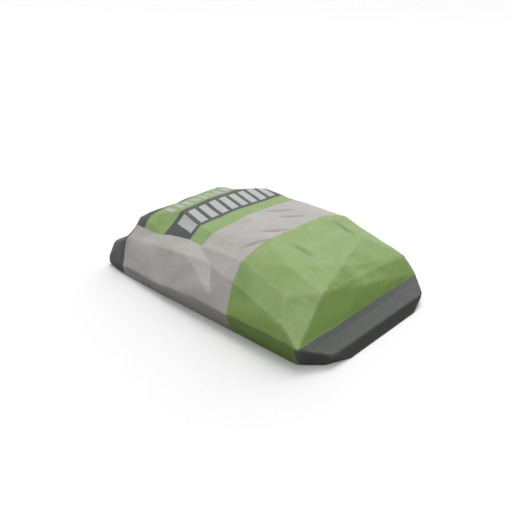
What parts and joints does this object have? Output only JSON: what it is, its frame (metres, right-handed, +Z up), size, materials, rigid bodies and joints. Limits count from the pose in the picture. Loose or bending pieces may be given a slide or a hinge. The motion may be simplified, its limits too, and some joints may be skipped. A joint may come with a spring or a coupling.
{
  "type": "bag of concrete mix",
  "caption": "Full pasted paper sack of dry concrete mix lying flat, with dark cover strips over its pressed ends and a filling valve in one corner.",
  "frame": {"origin": "on the floor under the middle of the sack's outline", "axes": "+Z up through the printed front; +Y along the sack towards its top end with the filling valve; +X to the right of the front"},
  "size_m": [0.3071, 0.4842, 0.1168],
  "materials": {
    "printed_kraft_paper": "printed, dusty, creased",
    "cover_strip_paper": "printed dark, matte",
    "plain_kraft": "unprinted, matte",
    "dry_mix": "loose grey powder, sand and gravel"
  },
  "bodies": {
    "root": {"paper_sack": "printed_kraft_paper", "bottom_cover_strip": "cover_strip_paper", "top_cover_strip": "cover_strip_paper", "valve_sleeve": "plain_kraft", "concrete_mix": "dry_mix"}
  },
  "joints": []
}
